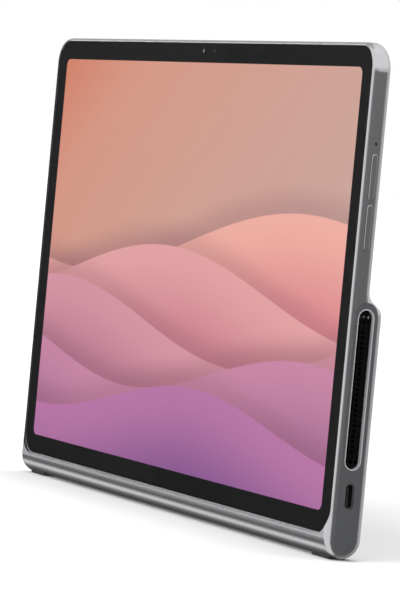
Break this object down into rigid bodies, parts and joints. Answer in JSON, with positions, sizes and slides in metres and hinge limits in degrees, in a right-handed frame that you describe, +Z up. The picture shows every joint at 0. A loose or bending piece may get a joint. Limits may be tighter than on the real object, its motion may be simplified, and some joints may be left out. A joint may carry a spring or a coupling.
{
  "type": "tablet computer",
  "caption": "Landscape tablet computer with a black-bordered glass screen, a rounded metal chin bar, dark side panels with speaker slots, edge keys, a card tray and a folding rear kickstand.",
  "frame": {"origin": "on the surface under the rubber feet, at the middle of the body's width and depth, with the tablet standing upright on its chin bar and the kickstand folded", "axes": "+X to the viewer's right when facing the screen, along the chin bar; +Y from the screen to the back; +Z up along the screen's short side"},
  "size_m": [0.2686, 0.0136, 0.1746],
  "materials": {
    "body_metal": "fine satin anodised slate grey",
    "stand_metal": "satin anodised slate grey",
    "frame_metal": "die cast",
    "trim_metal": "polished",
    "tray_metal": "satin dark grey",
    "foot_rubber": "matt",
    "cover_glass": "polished",
    "black_border": "printed ink, black",
    "lcd_glass": "display panel, lit picture",
    "lens_glass": "coated",
    "flash_lens": "clear moulding",
    "white_plastic": "matt",
    "black_plastic": "matt",
    "dark_panel": "fine satin",
    "dark_mesh": "matt black",
    "black_foam": "foam",
    "cell_foil": "pouch foil with black wrap",
    "circuit_board": "solder mask",
    "flex_film": "polyimide film",
    "steel": "plain"
  },
  "bodies": {
    "tablet": {"antennas": "flex_film", "audio_jack": "black_plastic", "backlight_unit": "white_plastic", "battery_cell_left": "cell_foil", "battery_cell_right": "cell_foil", "battery_cell_upper": "cell_foil", "border_mask": "black_border", "card_board": "circuit_board", "card_flex": "flex_film", "card_socket": "steel", "cover_glass": "cover_glass", "display_flex": "flex_film", "display_gasket": "black_foam", "flash_lens": "flash_lens", "front_camera": "black_plastic", "hinge_bracket_left": "steel", "hinge_bracket_right": "steel", "hinge_washers": "black_plastic", "key_switches": "circuit_board", "lcd_panel": "lcd_glass", "light_sensor": "black_plastic", "main_board": "circuit_board", "microphones": "steel", "mid_frame": "frame_metal", "rear_camera_bezel": "trim_metal", "rear_camera_glass": "lens_glass", "rear_camera_module": "black_plastic", "rear_housing": "body_metal", "rubber_feet": "foot_rubber", "screws": "steel", "shield_cans": "steel", "side_panel_left": "dark_panel", "side_panel_right": "dark_panel", "slot_trim_left": "trim_metal", "slot_trim_right": "trim_metal", "speaker_baffle_left": "black_plastic", "speaker_baffle_right": "black_plastic", "speaker_box_left": "black_plastic", "speaker_box_right": "black_plastic", "speaker_gaskets": "black_foam", "speaker_grille_left": "dark_mesh", "speaker_grille_right": "dark_mesh", "tweeters_left": "steel", "tweeters_right": "steel", "usb_board": "circuit_board", "usb_flex": "flex_film", "usb_shell": "steel", "usb_tongue": "black_plastic", "woofer_left_lower": "steel", "woofer_left_upper": "steel", "woofer_right_lower": "steel", "woofer_right_upper": "steel"},
    "kickstand": {"kickstand_plate": "stand_metal", "kickstand_inner_cover": "black_plastic", "kickstand_rubber_strip": "foot_rubber", "hinge_pins": "steel"},
    "power_button": {"power_button": "body_metal"},
    "volume_rocker": {"volume_rocker": "body_metal"},
    "card_tray": {"card_tray": "tray_metal"}
  },
  "joints": [
    {"name": "kickstand_hinge", "type": "hinge", "parent": "tablet", "child": "kickstand", "pos_m": [0, 0.00505, 0.0096], "axis": [-1, 0, 0], "range_deg": [0, 95]},
    {"name": "power_press", "type": "slide", "parent": "tablet", "child": "power_button", "axis": [-1, 0, 0], "range_m": [0, 0.0003], "stiffness_N_per_m": 3000},
    {"name": "volume_rock", "type": "hinge", "parent": "tablet", "child": "volume_rocker", "pos_m": [0.1329, -0.00269, 0.1125], "axis": [0, 1, 0], "range_deg": [-1.5, 1.5], "stiffness_Nm_per_rad": 0.3},
    {"name": "tray_slide", "type": "slide", "parent": "tablet", "child": "card_tray", "axis": [-1, 0, 0], "range_m": [0, 0.022]}
  ]
}
